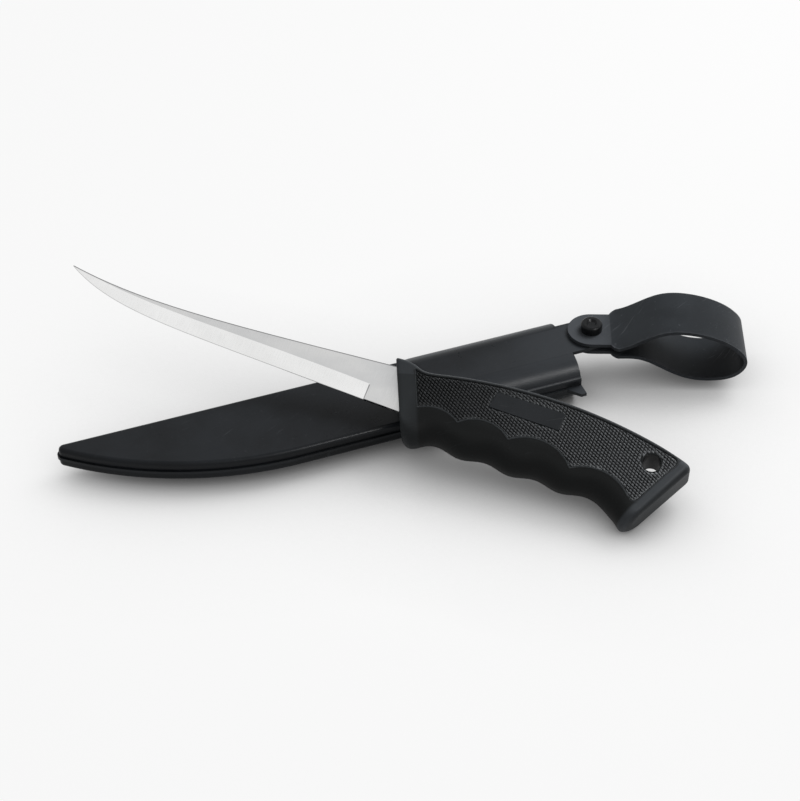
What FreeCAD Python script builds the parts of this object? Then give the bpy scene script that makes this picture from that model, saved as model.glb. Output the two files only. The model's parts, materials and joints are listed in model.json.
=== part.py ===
"""Fillet knife laid across its moulded sheath, with a riveted belt loop on the sheath's hanger tab.

Millimetres, +Z up, +X along the sheath from its tip to its mouth. The origin is under the middle of the
whole set, on the surface that it lies on. The knife has axes of its own: u along the handle from the guard to
the butt, w from the cutting edge to the spine, and h square to the blade's flat.
"""
import FreeCAD
import Part
import Sketcher

import math
import os
import re

from FreeCAD import Placement, Rotation, Vector

# Driving dimensions, in millimetres and degrees
SIZES = [
    # Blade
    ("blade_length", 161.5, "guard to tip along the handle's axis"),
    ("blade_width", 20, "spine to edge at the guard"),
    ("blade_thickness", 2, "at the ricasso"),
    ("tip_thickness", 0.9, "at the tip"),
    ("edge_thickness", 0.25, "across the cutting edge"),
    ("spine_drop", 12.3, "fall of the spine towards the tip before the sweep"),
    ("edge_rise", 5, "rise of the edge towards the tip before the sweep"),
    ("tip_rise", 7.2, "tip above the axis"),
    ("plunge_distance", 12.4, "guard to the end of the grind"),
    ("grind_root_share", 0.36, "share of the width that is ground, at the plunge"),
    ("grind_tip_share", 0.94, "share of the width that is ground, at the tip"),
    ("tang_length", 92, "guard to the end of the tang"),
    ("tang_width", 12, ""),
    ("tang_shoulder", 6, "guard to the step from ricasso to tang"),
    ("tang_hole", 5, "keying hole"),
    ("tang_hole_near", 30, "guard to the first keying hole"),
    ("tang_hole_far", 70, "guard to the second keying hole"),
    # Handle
    ("handle_length", 129, "guard to butt along the axis"),
    ("handle_thickness", 18, ""),
    ("guard_lean", 23.3, "guard's front face, from square"),
    ("butt_lean", 26, "butt's end face, from square"),
    ("collar_height", 11, "spine over the axis at the guard"),
    ("collar_spread", 7, "half length of the collar's hump along the spine"),
    ("neck_height", 9.3, "spine over the axis behind the collar"),
    ("neck_station", 14, ""),
    ("crown_height", 15.75, "spine over the axis at its highest"),
    ("crown_station", 66, ""),
    ("heel_height", 7.9, "spine over the axis near the butt"),
    ("heel_setback", 2, "heel to the butt along the axis"),
    ("grip_depth", 20, "belly under the axis, midway between crest and groove"),
    ("groove_depth", 1, "half the height from groove to crest"),
    ("groove_pitch", 22.6, ""),
    ("first_groove", 25, "guard to the first finger groove"),
    ("guard_depth", 23.6, "finger guard under the axis"),
    ("guard_station", 14.5, ""),
    ("guard_spread", 5, "half length of the finger guard's hump"),
    ("flare_length", 14.5, "stretch in which the belly flares towards the butt"),
    ("flare_setback", 17.5, "end of the flare to the butt"),
    ("flare_drop", 9, "flare of the belly at the butt"),
    ("spine_round", 1.6, "edge rounding along the spine"),
    ("heel_round", 4, "edge rounding of the spine at the butt"),
    ("belly_flat", 1.2, "flat strip between the belly's rounded edges"),
    ("butt_round", 3.2, "edge rounding round the butt"),
    ("collar_round", 1.3, "edge rounding round the guard"),
    ("lanyard_hole", 8, "diameter"),
    ("lanyard_setback", 13.4, "lanyard hole to the butt"),
    ("lanyard_height", 1.7, "lanyard hole over the axis"),
    # Checkered panels in both faces of the handle
    ("panel_recess", 0.7, "depth"),
    ("panel_top", 1.6, "spine to the upper border"),
    ("panel_front", 8.9, "guard's face to the panel, along the axis"),
    ("panel_end", 5.3, "panel to the butt's face, along the axis"),
    ("panel_corner", 2.2, "corners at the butt"),
    ("panel_front_depth", 8.3, "lower border under the axis, at the collar"),
    ("panel_end_depth", 20.2, "lower border under the axis, at the butt"),
    ("first_cusp", 31.5, "guard to the lower border's first cusp"),
    ("first_cusp_depth", 8.7, ""),
    ("second_cusp", 54.8, ""),
    ("second_cusp_depth", 8.8, ""),
    ("third_cusp", 83.8, ""),
    ("third_cusp_depth", 12.3, ""),
    ("first_arch_share", 0.1524, "rise of the lower border from the collar to the first cusp, of its chord"),
    ("second_arch_share", 0.1953, "between the first and second cusps"),
    ("third_arch_share", 0.2037, "between the second and third cusps"),
    ("last_arch_share", 0.2237, "between the third cusp and the butt"),
    # Core round the tang
    ("core_start", 11, "guard to the core"),
    ("core_length", 90, ""),
    ("core_height", 15, ""),
    ("core_thickness", 9, ""),
    # Sheath
    ("sheath_length", 235.5, "mouth to where the long edges would meet at the tip"),
    ("sheath_wall", 1.7, ""),
    ("pouch_clearance", 0.3, "room on each face of the sheathed handle"),
    ("guard_clearance", 0.9, "room beside the sheathed finger guard"),
    ("tip_radius", 155, "curve of the near edge towards the tip"),
    ("tip_round", 2.5, ""),
    ("case_thickness", 10, "blade case"),
    ("case_round", 1.8, "edge rounding of the blade case"),
    ("pouch_length", 65, "mouth to the shoulder on the centre line"),
    ("pouch_depth", 50, "mouth to the pouch's floor"),
    ("shoulder_round", 12, ""),
    ("shoulder_slant", 21, "shoulder's ridge, from square"),
    ("seam_width", 0.8, "seam ridge beyond the sides"),
    ("seam_height", 1.6, ""),
    ("fin_length", 8, "thumb fin along the sheath"),
    ("fin_reach", 6, "thumb fin beyond the side"),
    ("fin_flat", 2.5, "outer end of the thumb fin"),
    ("tab_width", 19.5, ""),
    ("tab_root", 1, "tab's lap into the pouch wall"),
    ("rivet_reach", 13.5, "mouth to the rivet"),
    ("rivet_offset", 1, "rivet behind the centre line"),
    # Belt hanger
    ("strap_width", 28, ""),
    ("strap_thickness", 1.6, ""),
    ("tongue_width", 21.4, "narrow riveted ends"),
    ("tongue_length", 8.5, "rivet to the strap's shoulders"),
    ("strap_round", 3, "strap's shoulders"),
    ("loop_reach", 70.5, "rivet to the loop's far end"),
    ("loop_height", 33.8, "surface to the loop's top"),
    ("loop_turn", -21.5, "loop's direction from the sheath's axis"),
    ("ply_clearance", 0.3, "between the tab and each ply"),
    ("post_diameter", 4, ""),
    ("pivot_clearance", 0.08, "round the post, in the tab"),
    ("seat_clearance", 0.03, "round the post, in the strap and the base"),
    ("cap_diameter", 9.8, ""),
    ("cap_height", 4, ""),
    ("cap_dish", 5, "diameter of the dished top"),
    ("dish_depth", 0.8, ""),
    ("base_height", 1.6, ""),
    # How the knife lies on the sheath
    ("knife_heading", -43.94, "handle's direction from the sheath's axis"),
    ("knife_x", -85.1, "guard on the knife's axis, from the mouth along the sheath"),
    ("knife_y", -11.9, "guard on the knife's axis, from the centre line"),
    ("case_contact", 85.5, "mouth to where the collar lies on the blade case"),
    ("rest_clearance", 0.55, "between the knife's underside and the sheath"),
]
FUNCTIONS = {"sin", "cos", "tan", "sqrt"}

# Stations of the lofts along the handle and the blade
HANDLE_STATIONS = 34
ROUNDING_STEPS = 6
BLADE_STATIONS = 12
PANEL_STATIONS = 40
HEEL_START = 0.86
SPINE_SWEEP = 4.5
EDGE_SWEEP = 7.5
TOLERANCE = 1e-3
SETTLING_ROUNDS = 20

# The loop's middle line between its riveted ends: shares of the reach and of the height
LOOP_SHAPE = [
    (0.444, 0.97), (0.638, 0.976), (0.8, 0.87), (0.925, 0.7), (0.985, 0.49), (0.94, 0.305),
    (0.8, 0.205), (0.655, 0.22), (0.474, 0.382), (0.3, 0.56),
]

doc = FreeCAD.newDocument("fillet_knife")
sheet = doc.addObject("Spreadsheet::Sheet", "Sizes")
for row, (alias, number, note) in enumerate(SIZES, start=1):
    sheet.set("A%d" % row, alias)
    sheet.set("B%d" % row, str(number))
    sheet.set("C%d" % row, note)
    sheet.setAlias("B%d" % row, alias)
doc.recompute()

# Sizes that follow from others, as expressions
POUCH_THICKNESS = "(handle_thickness + 2 * pouch_clearance + 2 * sheath_wall)"
POUCH_HALF = "(handle_thickness / 2 + pouch_clearance + sheath_wall)"
CASE_HALF = "(case_thickness / 2)"
SHEATH_HALF = "((collar_height + guard_depth) / 2 + guard_clearance + sheath_wall)"
CURVE_START = "(sheath_length - sqrt(4 * tip_radius * {0} - 4 * {0} ^ 2))".format(SHEATH_HALF)
UPPER_PLY = "(%s + ply_clearance + strap_thickness / 2)" % POUCH_THICKNESS
LOWER_PLY = "(%s - sheath_wall - ply_clearance - strap_thickness / 2)" % POUCH_THICKNESS
HEEL_STATION = "(handle_length - heel_setback)"
FLARE_END = "(handle_length - flare_setback)"
LANYARD_STATION = "(handle_length - lanyard_setback)"
BELLY_ROUND = "((handle_thickness - belly_flat) / 2)"


def bound(expression):
    """Expression with each named size read from the sheet."""
    def cell(match):
        word = match.group()
        return word if word in FUNCTIONS else "Sizes." + word
    return re.sub(r"[a-z][a-z_]+", cell, expression)


def number(expression):
    """What an expression of named sizes comes to."""
    return float(sheet.evalExpression(expression))


def bind(feature, **properties):
    """Tie a feature's properties to expressions of named sizes."""
    for name, expression in properties.items():
        feature.setExpression(name, bound(expression))


def new_body(name):
    return doc.addObject("PartDesign::Body", name)


def origin(body, role):
    return next(item for item in body.Origin.OriginFeatures if item.Role == role)


def new_sketch(body, name, plane):
    sketch = body.newObject("Sketcher::SketchObject", name)
    sketch.AttachmentSupport = [(origin(body, plane), "")]
    sketch.MapMode = "FlatFace"
    return sketch


def arc_between(start, end, radius):
    """Arc from start to end: a positive radius turns left, a negative one right."""
    chord = end - start
    middle = start + chord * 0.5
    height = math.sqrt(max(radius ** 2 - chord.Length ** 2 / 4, 0))
    left = Vector(-chord.y, chord.x, 0).normalize()
    side = 1 if radius > 0 else -1
    centre = middle + left * height * side
    circle = Part.Circle(centre, Vector(0, 0, 1), abs(radius))
    first, last = (start, end) if radius > 0 else (end, start)
    angle_first = math.atan2(first.y - centre.y, first.x - centre.x)
    angle_last = math.atan2(last.y - centre.y, last.x - centre.x)
    if angle_last <= angle_first:
        angle_last += 2 * math.pi
    return Part.ArcOfCircle(circle, angle_first, angle_last)


def draw(sketch, corners, arcs=None):
    """Closed outline through corners, each a pair of expressions; arcs gives the radius of round sides."""
    arcs = arcs or {}
    points = [Vector(number(x), number(y), 0) for x, y in corners]
    sides = []
    for side, start in enumerate(points):
        end = points[(side + 1) % len(points)]
        if side in arcs:
            radius = number(arcs[side])
            shape = sketch.addGeometry(arc_between(start, end, radius), False)
            sides.append((shape, 1, 2) if radius > 0 else (shape, 2, 1))
        else:
            shape = sketch.addGeometry(Part.LineSegment(start, end), False)
            sides.append((shape, 1, 2))
    for side, (shape, head, tail) in enumerate(sides):
        following, following_head, _ = sides[(side + 1) % len(sides)]
        sketch.addConstraint(Sketcher.Constraint("Coincident", shape, tail, following, following_head))
        for axis, expression in zip("XY", corners[side]):
            value = number(expression)
            at = sketch.addConstraint(Sketcher.Constraint("Distance" + axis, -1, 1, shape, head, value))
            sketch.setExpression("Constraints[%d]" % at, bound(expression))
        if side in arcs:
            value = abs(number(arcs[side]))
            at = sketch.addConstraint(Sketcher.Constraint("Radius", shape, value))
            sketch.setExpression("Constraints[%d]" % at, "abs(%s)" % bound(arcs[side]))


def circle(sketch, x, y, radius):
    """Circle whose centre and radius are expressions."""
    centre = Vector(number(x), number(y), 0)
    shape = sketch.addGeometry(Part.Circle(centre, Vector(0, 0, 1), number(radius)), False)
    for kind, expression in (("DistanceX", x), ("DistanceY", y)):
        at = sketch.addConstraint(Sketcher.Constraint(kind, -1, 1, shape, 3, number(expression)))
        sketch.setExpression("Constraints[%d]" % at, bound(expression))
    at = sketch.addConstraint(Sketcher.Constraint("Radius", shape, number(radius)))
    sketch.setExpression("Constraints[%d]" % at, bound(radius))


def pad(body, sketch, length, name, symmetric=False, reverse=False):
    feature = body.newObject("PartDesign::Pad", name)
    feature.Profile = sketch
    feature.SideType = "Symmetric" if symmetric else "One side"
    feature.Reversed = reverse
    bind(feature, Length=length)
    doc.recompute()
    return feature


def cut(name, base, tool):
    feature = doc.addObject("Part::Cut", name)
    feature.Base = base
    feature.Tool = tool
    return feature


def round_edges(body, name, radius, chosen):
    """Fillet on the edges of the body's last feature that chosen picks."""
    base = body.Tip
    names = ["Edge%d" % (n + 1) for n, edge in enumerate(base.Shape.Edges) if chosen(edge)]
    feature = body.newObject("PartDesign::Fillet", name)
    feature.Base = (base, names)
    bind(feature, Radius=radius)
    doc.recompute()
    return feature


# Sheath, standing on its parting plane, with the mouth at x = 0

def plan_corners(grow="0"):
    """Sheath's outline in plan: mouth, straight back edge, tip, curved front edge."""
    half = "(%s + %s)" % (SHEATH_HALF, grow)
    fall = "(tip_radius - 2 * %s - %s)" % (SHEATH_HALF, grow)
    tip = "(-%s - sqrt((tip_radius + %s) ^ 2 - %s ^ 2))" % (CURVE_START, grow, fall)
    return [("0", "-" + half), ("0", half), (tip, half), ("-" + CURVE_START, "-" + half)]


def padded_plan(name, grow, height):
    """Pad of the sheath's outline, larger or smaller by grow all round."""
    body = new_body(name)
    sketch = new_sketch(body, name + "_outline", "XY_Plane")
    draw(sketch, plan_corners(grow), {2: "tip_radius + " + grow})
    pad(body, sketch, height, name + "_pad")
    return body


def round_tip(body, grow, radius):
    """Round the upright edge at the outline's tip."""
    tip_x, tip_y = (number(value) for value in plan_corners(grow)[2])

    def at_tip(edge):
        box = edge.BoundBox
        near = math.hypot(box.Center.x - tip_x, box.Center.y - tip_y) < TOLERANCE
        return near and box.XLength < TOLERANCE and box.YLength < TOLERANCE
    round_edges(body, body.Name + "_tip", radius, at_tip)


def blade_case():
    """Flat case round the blade, the whole length of the sheath."""
    body = padded_plan("blade_case", "0", CASE_HALF)
    round_tip(body, "0", "tip_round")
    level = number(CASE_HALF)

    def on_rim(edge):
        box = edge.BoundBox
        return box.ZMin > level - TOLERANCE and box.XMin < -TOLERANCE
    round_edges(body, "case_rim", "case_round", on_rim)
    return body


def pouch_section(name, grow, length):
    """Half of a slot-shaped bar along the sheath, larger or smaller than the pouch by grow all round."""
    body = new_body(name)
    sketch = new_sketch(body, name + "_section", "YZ_Plane")
    half = "(%s + %s)" % (SHEATH_HALF, grow)
    room = "(%s + %s)" % (POUCH_HALF, grow)
    flat = "(%s - %s)" % (half, room)
    draw(sketch, [("-" + half, "0"), (half, "0"), (flat, room), ("-" + flat, room)], {1: room, 3: room})
    pad(body, sketch, length, name + "_bar", reverse=True)
    return body


def shoulder_block():
    """Block across the sheath whose end is the slanted, rounded shoulder."""
    body = new_body("shoulder_block")
    sketch = new_sketch(body, "shoulder_profile", "XZ_Plane")
    bind(sketch, **{"AttachmentOffset.Rotation.Angle": "shoulder_slant"})
    sketch.AttachmentOffset = Placement(Vector(0, 0, 0), Rotation(Vector(0, 1, 0), number("shoulder_slant")))
    ridge = "(-pouch_length * cos(shoulder_slant))"
    drop = "(%s - %s)" % (POUCH_HALF, CASE_HALF)
    foot = "(%s - sqrt(2 * shoulder_round * %s - %s ^ 2))" % (ridge, drop, drop)
    ahead = "(2 * %s)" % SHEATH_HALF
    draw(sketch, [
        (ridge, POUCH_HALF), (foot, CASE_HALF), (foot, "0"), (ahead, "0"), (ahead, POUCH_HALF),
    ], {0: "shoulder_round"})
    pad(body, sketch, "4 * %s" % SHEATH_HALF, "shoulder", symmetric=True)
    return body


def pouch():
    """Outside of the pouch, as far as its shoulder."""
    shaped = doc.addObject("Part::Common", "pouch")
    shaped.Base = pouch_section("pouch_outside", "0", "2 * pouch_length")
    shaped.Tool = shoulder_block()
    return shaped


def seam():
    """Ridge all round the sheath where its halves meet."""
    body = padded_plan("seam", "seam_width", "seam_height / 2")
    round_tip(body, "seam_width", "tip_round + seam_width")
    return body


def thumb_fin():
    """Fin on the seam at the near side of the mouth, to push against with the thumb."""
    body = new_body("thumb_fin")
    sketch = new_sketch(body, "fin_outline", "XY_Plane")
    side = "(-%s)" % SHEATH_HALF
    out = "(-%s - fin_reach)" % SHEATH_HALF
    inside = "(-%s + sheath_wall)" % SHEATH_HALF
    root = [("0", inside), ("-fin_length", inside), ("-fin_length", side)]
    draw(sketch, root + [("-fin_flat", out), ("0", out)])
    pad(body, sketch, "seam_height / 2", "fin")
    return body


def sheath_shell():
    """One moulded half of the sheath."""
    outside = doc.addObject("Part::MultiFuse", "shell_outside")
    outside.Shapes = [blade_case(), pouch(), seam(), thumb_fin()]
    room = doc.addObject("Part::Fuse", "shell_room")
    room.Base = pouch_section("pouch_room", "(-sheath_wall)", "pouch_depth")
    room.Tool = padded_plan("blade_slot", "(-sheath_wall)", "%s - sheath_wall" % CASE_HALF)
    return cut("sheath_shell", outside, room)


def hanger_tab():
    """Flat tab that runs on from the pouch's upper wall and carries the rivet."""
    body = new_body("hanger_tab")
    sketch = new_sketch(body, "tab_outline", "XY_Plane")
    bind(sketch, **{"AttachmentOffset.Base.z": "%s - sheath_wall" % POUCH_HALF})
    side = "(tab_width / 2)"
    near = "(rivet_offset - %s)" % side
    far = "(rivet_offset + %s)" % side
    draw(sketch, [
        ("-tab_root", near), ("rivet_reach", near), ("rivet_reach + " + side, "rivet_offset"),
        ("rivet_reach", far), ("-tab_root", far),
    ], {1: side, 2: side})
    circle(sketch, "rivet_reach", "rivet_offset", "post_diameter / 2 + pivot_clearance")
    pad(body, sketch, "sheath_wall", "tab")
    return body


def make_sheath():
    """Front shell with its tab, and back shell, which is the front's mirror image without it."""
    shell = sheath_shell()
    front = doc.addObject("Part::Fuse", "sheath_front")
    front.Base = shell
    front.Tool = hanger_tab()
    back = doc.addObject("Part::Mirroring", "sheath_back")
    back.Source = shell
    back.Normal = Vector(0, 0, 1)
    for half in (front, back):
        bind(half, **{"Placement.Base.z": POUCH_HALF})
    return [front, back]


# Belt hanger, with the rivet's axis as its own Z axis

def strap_line():
    """Points of the strap's middle line, in its own upright plane, from the upper ply to the lower."""
    reach = number("loop_reach")
    height = number("loop_height")
    tongue = number("tongue_length")
    upper = number(UPPER_PLY)
    lower = number(LOWER_PLY)
    bend = [Vector(x * reach, 0, z * height) for x, z in LOOP_SHAPE]
    return [Vector(tongue, 0, upper)] + bend + [Vector(tongue, 0, lower)]


def smooth_curve(points):
    """Smooth curve through points, level at both ends, measured along its own length."""
    lengths = [0]
    for first, second in zip(points, points[1:]):
        lengths.append(lengths[-1] + first.distanceToPoint(second))
    curve = Part.BSplineCurve()
    curve.interpolate(
        Points=points,
        Parameters=lengths,
        InitialTangent=Vector(1, 0, 0),
        FinalTangent=Vector(-1, 0, 0),
        Scale=False,
    )
    return curve


def strap_ribbon():
    """Strap at full width: a smooth teardrop with two straight ends over and under the tab."""
    half = number("strap_thickness") / 2
    end = -number("tongue_width")
    middle = smooth_curve(strap_line())
    count = 4 * len(LOOP_SHAPE)
    faces = {}
    for side in (half, -half):
        points = []
        for step in range(count + 1):
            at = middle.FirstParameter + (middle.LastParameter - middle.FirstParameter) * step / count
            along = Vector(*middle.tangent(at)[0])
            points.append(middle.value(at) + Vector(-along.z, 0, along.x) * side)
        faces[side] = smooth_curve(points)
    outer, inner = faces[half], faces[-half]
    tails = []
    for first, last in ((outer.StartPoint, inner.StartPoint), (inner.EndPoint, outer.EndPoint)):
        stop_first = Vector(end, 0, first.z)
        stop_last = Vector(end, 0, last.z)
        tails.append([Part.makeLine(first, stop_first), Part.makeLine(stop_first, stop_last),
                      Part.makeLine(stop_last, last)])
    edges = [outer.toShape(), inner.toShape()] + tails[0] + tails[1]
    face = Part.Face(Part.Wire(Part.__sortEdges__(edges)))
    width = number("strap_width")
    solid = face.extrude(Vector(0, width, 0))
    solid.translate(Vector(0, -width / 2, 0))
    feature = doc.addObject("Part::Feature", "strap_ribbon")
    feature.Shape = solid
    return feature


def strap_plan():
    """Strap seen from above: a wide band with a narrow, round-ended tongue at the rivet."""
    body = new_body("strap_plan")
    sketch = new_sketch(body, "strap_outline", "XY_Plane")
    tongue = "(tongue_width / 2)"
    band = "(strap_width / 2)"
    step = "(%s - %s)" % (band, tongue)
    corners = [
        ("0", "-" + tongue), ("tongue_length", "-" + tongue), ("tongue_length + " + step, "-" + band),
        ("2 * loop_reach", "-" + band), ("2 * loop_reach", band), ("tongue_length + " + step, band),
        ("tongue_length", tongue), ("0", tongue), ("-" + tongue, "0"),
    ]
    draw(sketch, corners, {1: "strap_round + " + step, 5: "strap_round + " + step, 7: tongue, 8: tongue})
    pad(body, sketch, "2 * loop_height", "strap_blank")
    return body


def make_belt_loop():
    shaped = doc.addObject("Part::Common", "strap_cut")
    shaped.Base = strap_ribbon()
    shaped.Tool = strap_plan()
    hole = doc.addObject("Part::Cylinder", "strap_hole")
    bind(hole, Radius="post_diameter / 2 + seat_clearance", Height="2 * loop_height")
    loop = doc.addObject("Part::Cut", "belt_loop")
    loop.Base = shaped
    loop.Tool = hole
    return loop


def turned(name, profile, arcs=None):
    """Body turned round the rivet's axis from a profile of radii and heights."""
    body = new_body(name)
    sketch = new_sketch(body, name + "_profile", "XZ_Plane")
    draw(sketch, profile, arcs)
    feature = body.newObject("PartDesign::Revolution", name + "_turned")
    feature.Profile = sketch
    feature.ReferenceAxis = (origin(body, "Z_Axis"), [""])
    feature.Angle = 360
    doc.recompute()
    return body


def make_rivet():
    """Button with its post over the upper ply, and the ring that the post is set in under the lower ply."""
    seat = "(%s + strap_thickness / 2)" % UPPER_PLY
    under = "(%s - strap_thickness / 2)" % LOWER_PLY
    post = "(post_diameter / 2)"
    rim = "(cap_diameter / 2)"
    dish = "(cap_dish / 2)"
    crown = "((cap_diameter - cap_dish) / 4)"
    foot = "(%s - base_height + dish_depth / 2)" % under
    cap = turned("rivet_cap", [
        ("0", foot), (post, foot), (post, seat), (rim, seat), (rim, seat + " + cap_height - " + crown),
        (rim + " - " + crown, seat + " + cap_height"), (dish, seat + " + cap_height"),
        (dish + " - dish_depth", seat + " + cap_height - dish_depth"),
        ("0", seat + " + cap_height - dish_depth"),
    ], {4: crown})
    bore = "(%s + seat_clearance)" % post
    bevel = "(base_height / 2)"
    base = turned("rivet_base", [
        (bore, under + " - base_height"), (rim + " - " + bevel, under + " - base_height"),
        (rim, under + " - " + bevel), (rim, under), (bore, under),
    ], {1: bevel})
    return [cap, base]


def make_hanger():
    pieces = [make_belt_loop()] + make_rivet()
    for piece in pieces:
        bind(piece, **{"Placement.Base.x": "rivet_reach", "Placement.Base.y": "rivet_offset"})
        piece.Placement.Rotation = Rotation(Vector(0, 0, 1), number("loop_turn"))
        bind(piece, **{"Placement.Rotation.Angle": "loop_turn"})
    return pieces


# Knife, in its own axes: u, w and h

def spine_at(u):
    """Height of the handle's spine over the axis: one arc, with a raised collar at the guard."""
    stations = ("neck_station", "crown_station", HEEL_STATION)
    heights = ("neck_height", "crown_height", "heel_height")
    points = [Vector(number(station), number(height), 0) for station, height in zip(stations, heights)]
    arc = Part.Arc(*points).toShape().Curve
    centre = arc.Center

    def back(station):
        return centre.y + math.sqrt(arc.Radius ** 2 - (station - centre.x) ** 2)
    behind = max(u, 0)
    collar = number("collar_height") - back(0)
    return back(behind) + collar * math.exp(-(behind / number("collar_spread")) ** 2)


def wave(u):
    """1 in the middle of a finger groove, -1 on the crests between."""
    return math.cos(2 * math.pi * (u - number("first_groove")) / number("groove_pitch"))


def flare(u):
    """0 along the grip, rising to 1 before the butt."""
    share = 1 - (number(FLARE_END) - u) / number("flare_length")
    return min(max(share, 0), 1) ** 2


def belly_at(u):
    """Depth of the handle's belly under the axis: finger guard, four grooves and the flared butt."""
    grooves = number("grip_depth") - number("groove_depth") * wave(u)
    station = number("guard_station")
    hump = number("guard_depth - grip_depth") + number("groove_depth") * wave(station)
    guard = hump * math.exp(-((u - station) / number("guard_spread")) ** 2)
    return grooves + guard + number("flare_drop") * flare(u)


def handle_line(share):
    """Spine and belly points of the slanted cross-section at a share of the handle's length."""
    spine_first = number("-collar_height * tan(guard_lean)")
    spine_last = number("handle_length + heel_height * tan(butt_lean)")
    belly_first = number("guard_depth * tan(guard_lean)")
    belly_last = number("handle_length - (grip_depth + flare_drop) * tan(butt_lean)")
    spine_u = spine_first + (spine_last - spine_first) * share
    belly_u = belly_first + (belly_last - belly_first) * share
    return Vector(spine_u, spine_at(spine_u), 0), Vector(belly_u, -belly_at(belly_u), 0)


def handle_section(share, inset):
    """Closed cross-section of the handle with rounded corners, smaller by inset all round."""
    spine, belly = handle_line(share)
    up = (spine - belly).normalize()
    spine = spine - up * inset
    belly = belly + up * inset
    half = number("handle_thickness") / 2 - inset
    behind = min(max((share - HEEL_START) / (1 - HEEL_START), 0), 1)
    spine_round = number("spine_round") + number("heel_round - spine_round") * behind ** 2 - inset
    belly_round = number(BELLY_ROUND) - inset
    tall = Vector(0, 0, 1)
    slope = math.sqrt(0.5)
    corners = []
    ends = [(spine, up * -1, spine_round, (1, -1)), (belly, up, belly_round, (-1, 1))]
    for tip, inward, radius, sides in ends:
        for side in sides:
            centre = tip + inward * radius + tall * (half - radius) * side
            flat = centre + tall * radius * side
            edge = centre - inward * radius
            bend = centre + (tall * side - inward) * radius * slope
            corners.append((flat, bend, edge))
    (a, b, c), (d, e, f), (g, i, j), (k, m, n) = corners
    edges = [
        Part.Arc(a, b, c).toShape(), Part.makeLine(c, f), Part.Arc(f, e, d).toShape(), Part.makeLine(d, g),
        Part.Arc(g, i, j).toShape(), Part.makeLine(j, n), Part.Arc(n, m, k).toShape(), Part.makeLine(k, a),
    ]
    return Part.Wire(edges)


def end_rounding(radius):
    """Shares of the handle's length and insets through an end's rounding, from its face inwards."""
    turns = [math.pi / 2 * n / ROUNDING_STEPS for n in range(ROUNDING_STEPS + 1)]
    reach = radius / number("handle_length")
    return [(reach * (1 - math.cos(turn)), radius * (1 - math.sin(turn))) for turn in turns]


def grip_blank():
    """Outside of the handle: a smooth loft with rounded ends."""
    front = end_rounding(number("collar_round"))
    back = [(1 - share, inset) for share, inset in reversed(end_rounding(number("butt_round")))]
    first, last = front[-1][0], back[0][0]
    middle = [(first + (last - first) * n / HANDLE_STATIONS, 0) for n in range(1, HANDLE_STATIONS)]
    sections = [handle_section(share, inset) for share, inset in front + middle + back]
    feature = doc.addObject("Part::Feature", "grip_blank")
    feature.Shape = Part.makeLoft(sections, True, False)
    return feature


def panel_upper():
    """Points along the panel's upper border, from guard to butt."""
    front = Vector(0, 0, 0)
    back = Vector(0, 0, 0)
    for _ in range(SETTLING_ROUNDS):
        front.x = number("panel_front") - front.y * number("tan(guard_lean)")
        back.x = number("handle_length - panel_end") + back.y * number("tan(butt_lean)")
        for end in (front, back):
            end.y = spine_at(end.x) - number("panel_top")
    points = []
    for n in range(PANEL_STATIONS + 1):
        u = front.x + (back.x - front.x) * n / PANEL_STATIONS
        points.append(Vector(u, spine_at(u) - number("panel_top"), 0))
    return points


def panel_lower():
    """Ends of the arches along the panel's lower border, from guard to butt, and their shares of rise."""
    places = [("panel_front + panel_front_depth * tan(guard_lean)", "panel_front_depth")]
    places += [(name, name + "_depth") for name in ("first_cusp", "second_cusp", "third_cusp")]
    places.append(("handle_length - panel_end - panel_end_depth * tan(butt_lean)", "panel_end_depth"))
    ends = [Vector(number(u), -number(depth), 0) for u, depth in places]
    return ends, [number(name + "_arch_share") for name in ("first", "second", "third", "last")]


def arch(start, end, share):
    chord = end - start
    middle = (start + end) / 2 + Vector(-chord.y, chord.x, 0) * share
    return Part.Arc(start, middle, end).toShape()


def panel_blank():
    """Solid that sinks the checkered panels into both faces."""
    upper = panel_upper()
    lower, shares = panel_lower()
    curve = Part.BSplineCurve()
    curve.interpolate(Points=upper)
    edges = [curve.toShape()]
    edges += [arch(*ends) for ends in zip(lower, lower[1:], shares)]
    edges += [Part.makeLine(upper[0], lower[0]), Part.makeLine(upper[-1], lower[-1])]
    face = Part.Face(Part.Wire(Part.__sortEdges__(edges)))
    recess = number("panel_recess")
    half = number("handle_thickness") / 2
    corners = (upper[-1], lower[-1])

    def at_corner(edge):
        middle = edge.BoundBox.Center
        return any(math.hypot(middle.x - corner.x, middle.y - corner.y) < TOLERANCE for corner in corners)
    blocks = []
    for level in (half - recess, -half - recess):
        block = face.extrude(Vector(0, 0, 2 * recess))
        block = block.makeFillet(number("panel_corner"), [edge for edge in block.Edges if at_corner(edge)])
        block.translate(Vector(0, 0, level))
        blocks.append(block)
    feature = doc.addObject("Part::Feature", "panel_blank")
    feature.Shape = Part.makeCompound(blocks)
    return feature


def blade_line(share):
    """Heights of spine, grind line and edge over the axis at a share of the blade's length."""
    root = number("blade_width") / 2
    tip = number("tip_rise")
    spine_drop = number("spine_drop")
    edge_rise = number("edge_rise")
    spine = root - spine_drop * share + (tip + spine_drop - root) * share ** SPINE_SWEEP
    edge = -root + edge_rise * share + (tip + root - edge_rise) * share ** EDGE_SWEEP
    ground = number("grind_root_share") + number("grind_tip_share - grind_root_share") * share
    return spine, edge + (spine - edge) * ground, edge


def blade_thickness_at(share):
    return number("blade_thickness") + number("tip_thickness - blade_thickness") * share


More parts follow.
